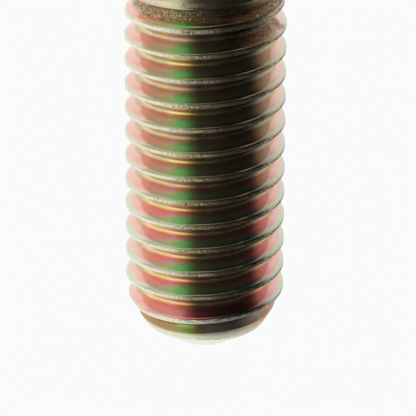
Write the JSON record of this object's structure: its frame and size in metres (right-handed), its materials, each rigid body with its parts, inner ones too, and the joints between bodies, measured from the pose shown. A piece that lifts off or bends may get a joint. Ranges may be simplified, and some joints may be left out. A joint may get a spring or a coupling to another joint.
{
  "type": "hex flange screw",
  "caption": "Fully threaded screw with a hexagon head on a round flange, a short plain neck and a blunt coned point; yellow-passivated zinc on steel.",
  "frame": {"origin": "centre of the flange's bearing face, on the screw's axis", "axes": "+Z along the screw's axis from the head to the point, so the screw stands on its head; the hexagon has a pair of flats square to the Y axis"},
  "size_m": [0.0176, 0.0176, 0.03],
  "materials": {
    "yellow_zinc": "yellow chromate passivated zinc plating, glossy with an iridescent sheen"
  },
  "bodies": {
    "root": {"flange_screw": "yellow_zinc"}
  },
  "joints": []
}
